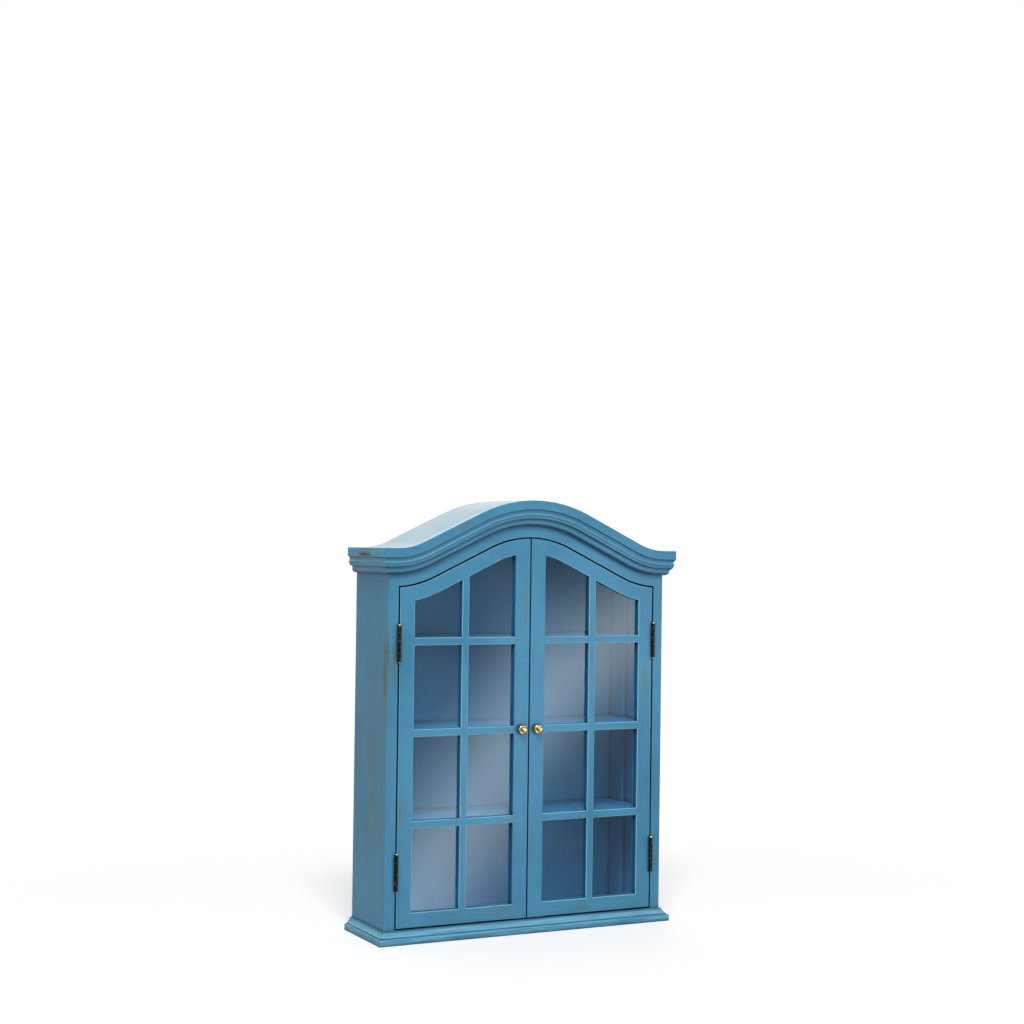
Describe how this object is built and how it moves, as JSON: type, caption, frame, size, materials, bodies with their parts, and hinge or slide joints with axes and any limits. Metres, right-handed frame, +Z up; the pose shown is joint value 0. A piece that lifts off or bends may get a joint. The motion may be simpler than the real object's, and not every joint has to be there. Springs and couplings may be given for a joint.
{
  "type": "thimble display case",
  "caption": "Shallow painted thimble case with an ogee-arched top, two glazed doors on butt hinges, brass knobs and fixed shelves.",
  "frame": {"origin": "middle of the base board's underside, below the middle of the case's depth", "axes": "+Z up, -Y out of the doors, +X to the viewer's right when facing the doors"},
  "size_m": [0.352, 0.099, 0.4617],
  "materials": {
    "paint": "satin blue paint over brown wood, rubbed through at some edges",
    "glass": "clear float glass",
    "brass": "polished",
    "bronze": "dark antique",
    "steel": "zinc plated",
    "ferrite": "bare ferrite magnet"
  },
  "bodies": {
    "case": {"base_board": "paint", "left_side": "paint", "right_side": "paint", "back_panel": "paint", "left_rear_post": "paint", "right_rear_post": "paint", "arch_header": "paint", "top_panel": "paint", "crown_front": "paint", "left_crown_return": "paint", "right_crown_return": "paint", "upper_shelf": "paint", "middle_shelf": "paint", "lower_shelf": "paint", "catch_block": "paint", "catch_magnets": "ferrite", "left_upper_frame_leaf": "bronze", "left_lower_frame_leaf": "bronze", "right_upper_frame_leaf": "bronze", "right_lower_frame_leaf": "bronze", "left_upper_hinge_pin": "brass", "left_lower_hinge_pin": "brass", "right_upper_hinge_pin": "brass", "right_lower_hinge_pin": "brass", "left_frame_hinge_screws": "bronze", "right_frame_hinge_screws": "bronze"},
    "left_door": {"left_hinge_stile": "paint", "left_meeting_stile": "paint", "left_top_rail": "paint", "left_bottom_rail": "paint", "left_upright_bar": "paint", "left_cross_bars": "paint", "left_glass": "glass", "left_glass_stops": "paint", "left_knob": "brass", "left_knob_screw": "steel", "left_strike_plate": "steel", "left_upper_door_leaf": "bronze", "left_lower_door_leaf": "bronze", "left_door_hinge_screws": "bronze"},
    "right_door": {"right_hinge_stile": "paint", "right_meeting_stile": "paint", "right_top_rail": "paint", "right_bottom_rail": "paint", "right_upright_bar": "paint", "right_cross_bars": "paint", "right_glass": "glass", "right_glass_stops": "paint", "right_knob": "brass", "right_knob_screw": "steel", "right_strike_plate": "steel", "right_upper_door_leaf": "bronze", "right_lower_door_leaf": "bronze", "right_door_hinge_screws": "bronze"}
  },
  "joints": [
    {"name": "left_door_hinge", "type": "hinge", "parent": "case", "child": "left_door", "pos_m": [-0.153, -0.04595, 0.19185], "axis": [0, 0, -1], "range_deg": [0, 175]},
    {"name": "right_door_hinge", "type": "hinge", "parent": "case", "child": "right_door", "pos_m": [0.153, -0.04595, 0.19185], "axis": [0, 0, 1], "range_deg": [0, 175]}
  ]
}
